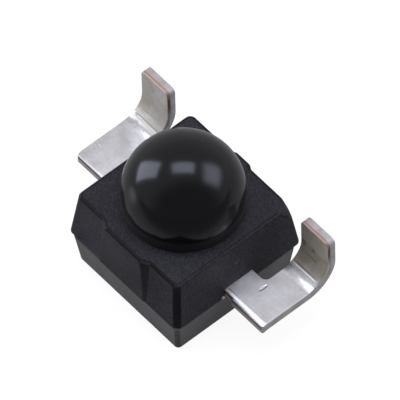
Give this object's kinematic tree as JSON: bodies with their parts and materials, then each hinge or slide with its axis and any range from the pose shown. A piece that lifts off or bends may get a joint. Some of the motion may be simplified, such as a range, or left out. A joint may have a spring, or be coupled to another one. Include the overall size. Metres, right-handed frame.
{
  "type": "photodiode",
  "caption": "Side-looking surface-mount photodiode: black moulded body with a dome lens, and tinned leads bent up at both sides into solder pads.",
  "frame": {"origin": "on the underside of the moulded body, straight below the centre of the dome lens", "axes": "+Z along the optical axis, the way the lens looks; X along the row of the two leads, with the cathode lead on the +X side; +Y towards the circuit board, on the side where the solder flanges of the leads stand"},
  "size_m": [0.004, 0.0024, 0.0026],
  "materials": {
    "moulded_epoxy": "black daylight-blocking epoxy, finely textured on the body, polished on the lens",
    "tinned_lead": "satin tin on copper, bare copper at the cut edges",
    "silicon": "polished silicon with a blue-grey coating",
    "silver_adhesive": "matte silver-filled adhesive",
    "gold_wire": "drawn gold wire"
  },
  "bodies": {
    "root": {"package": "moulded_epoxy", "cathode_lead": "tinned_lead", "anode_lead": "tinned_lead", "photodiode_chip": "silicon", "die_attach": "silver_adhesive", "bond_wire": "gold_wire"}
  },
  "joints": []
}
